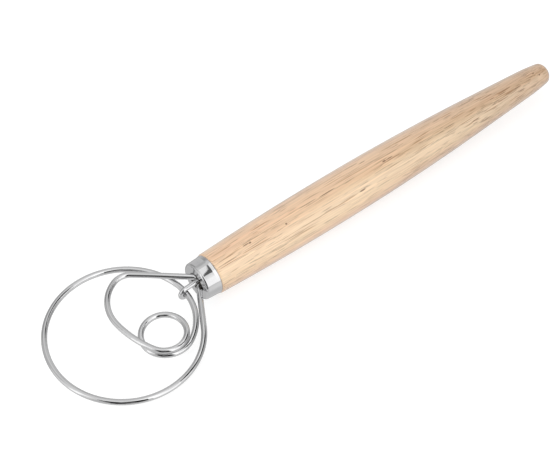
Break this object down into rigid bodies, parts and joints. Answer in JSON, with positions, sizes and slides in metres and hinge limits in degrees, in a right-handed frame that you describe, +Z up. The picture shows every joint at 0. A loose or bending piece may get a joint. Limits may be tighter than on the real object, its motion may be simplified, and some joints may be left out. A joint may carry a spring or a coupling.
{
  "type": "dough whisk",
  "caption": "Hand whisk for stiff dough: a flat spiral head bent from steel wire, held by a steel ferrule and a hook on a long turned wooden handle.",
  "frame": {"origin": "on the table, under the middle of the tool's bounding box, with the tool lying as it rests: on the handle's belly and the low side of the big ring", "axes": "+X along the handle from the head to the butt, +Z up from the table, +Y towards the raised side of the ring"},
  "size_m": [0.329, 0.0772, 0.0256],
  "materials": {
    "wood": "sanded, oiled rubberwood with short pores along the grain",
    "ferrule_steel": "polished stainless steel, pressed sheet",
    "wire_steel": "polished stainless steel wire",
    "adhesive": "set dark adhesive"
  },
  "bodies": {
    "root": {"handle": "wood", "ferrule": "ferrule_steel", "head_wire": "wire_steel", "hook_wire": "wire_steel", "bond_plug": "adhesive"}
  },
  "joints": []
}
